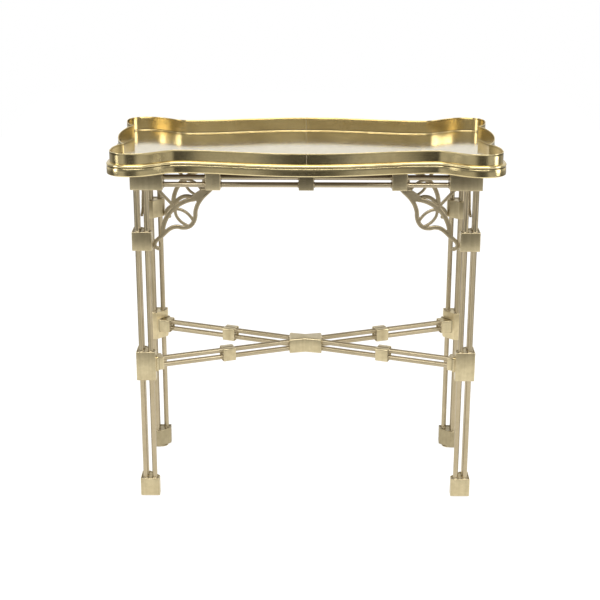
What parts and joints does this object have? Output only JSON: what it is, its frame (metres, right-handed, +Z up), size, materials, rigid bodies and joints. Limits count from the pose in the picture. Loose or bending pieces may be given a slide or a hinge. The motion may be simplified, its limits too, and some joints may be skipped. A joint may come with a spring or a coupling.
{
  "type": "tray table",
  "caption": "Brass tray table: a serpentine gallery tray that lifts off a stand of clustered rods with square collars, pierced corner brackets and an X-shaped stretcher.",
  "frame": {"origin": "centre of the footprint on the floor plane, under the glides", "axes": "+Z up, +X along the long side of the tray to the right, front long side towards -Y"},
  "size_m": [0.762, 0.3716, 0.732],
  "materials": {
    "rod_brass": "satin, drawn",
    "block_brass": "satin, brushed",
    "bracket_brass": "satin",
    "tray_brass": "antiqued, brushed along the wall",
    "floor_brass": "polished",
    "board_wood": "dark stained board",
    "glide_metal": "dull"
  },
  "bodies": {
    "stand": {"cap_back_left": "block_brass", "cap_back_right": "block_brass", "cap_front_left": "block_brass", "cap_front_right": "block_brass", "collar_back_left": "block_brass", "collar_back_right": "block_brass", "collar_front_left": "block_brass", "collar_front_right": "block_brass", "face_bracket_back_left": "bracket_brass", "face_bracket_back_right": "bracket_brass", "face_bracket_front_left": "bracket_brass", "face_bracket_front_right": "bracket_brass", "foot_back_left": "block_brass", "foot_back_right": "block_brass", "foot_front_left": "block_brass", "foot_front_right": "block_brass", "glide_back_left": "glide_metal", "glide_back_right": "glide_metal", "glide_front_left": "glide_metal", "glide_front_right": "glide_metal", "leg_rod_back_left_face": "rod_brass", "leg_rod_back_left_outer": "rod_brass", "leg_rod_back_left_side": "rod_brass", "leg_rod_back_right_face": "rod_brass", "leg_rod_back_right_outer": "rod_brass", "leg_rod_back_right_side": "rod_brass", "leg_rod_front_left_face": "rod_brass", "leg_rod_front_left_outer": "rod_brass", "leg_rod_front_left_side": "rod_brass", "leg_rod_front_right_face": "rod_brass", "leg_rod_front_right_outer": "rod_brass", "leg_rod_front_right_side": "rod_brass", "rail_back": "rod_brass", "rail_front": "rod_brass", "rail_left": "rod_brass", "rail_right": "rod_brass", "rail_sleeve_back": "block_brass", "rail_sleeve_front": "block_brass", "side_bracket_back_left": "bracket_brass", "side_bracket_back_right": "bracket_brass", "side_bracket_front_left": "bracket_brass", "side_bracket_front_right": "bracket_brass", "stretcher_back_left": "rod_brass", "stretcher_back_right": "rod_brass", "stretcher_front_left": "rod_brass", "stretcher_front_right": "rod_brass", "stretcher_knuckle": "block_brass", "tie_block_back_left": "block_brass", "tie_block_back_right": "block_brass", "tie_block_front_left": "block_brass", "tie_block_front_right": "block_brass"},
    "tray": {"edge_band_left": "tray_brass", "edge_band_right": "tray_brass", "gallery_left": "tray_brass", "gallery_right": "tray_brass", "tray_board": "board_wood", "tray_cleat_left": "board_wood", "tray_cleat_right": "board_wood", "tray_floor": "floor_brass"}
  },
  "joints": [
    {"name": "tray_lift", "type": "slide", "parent": "stand", "child": "tray", "axis": [0, 0, 1], "range_m": [0, 0.12]}
  ]
}
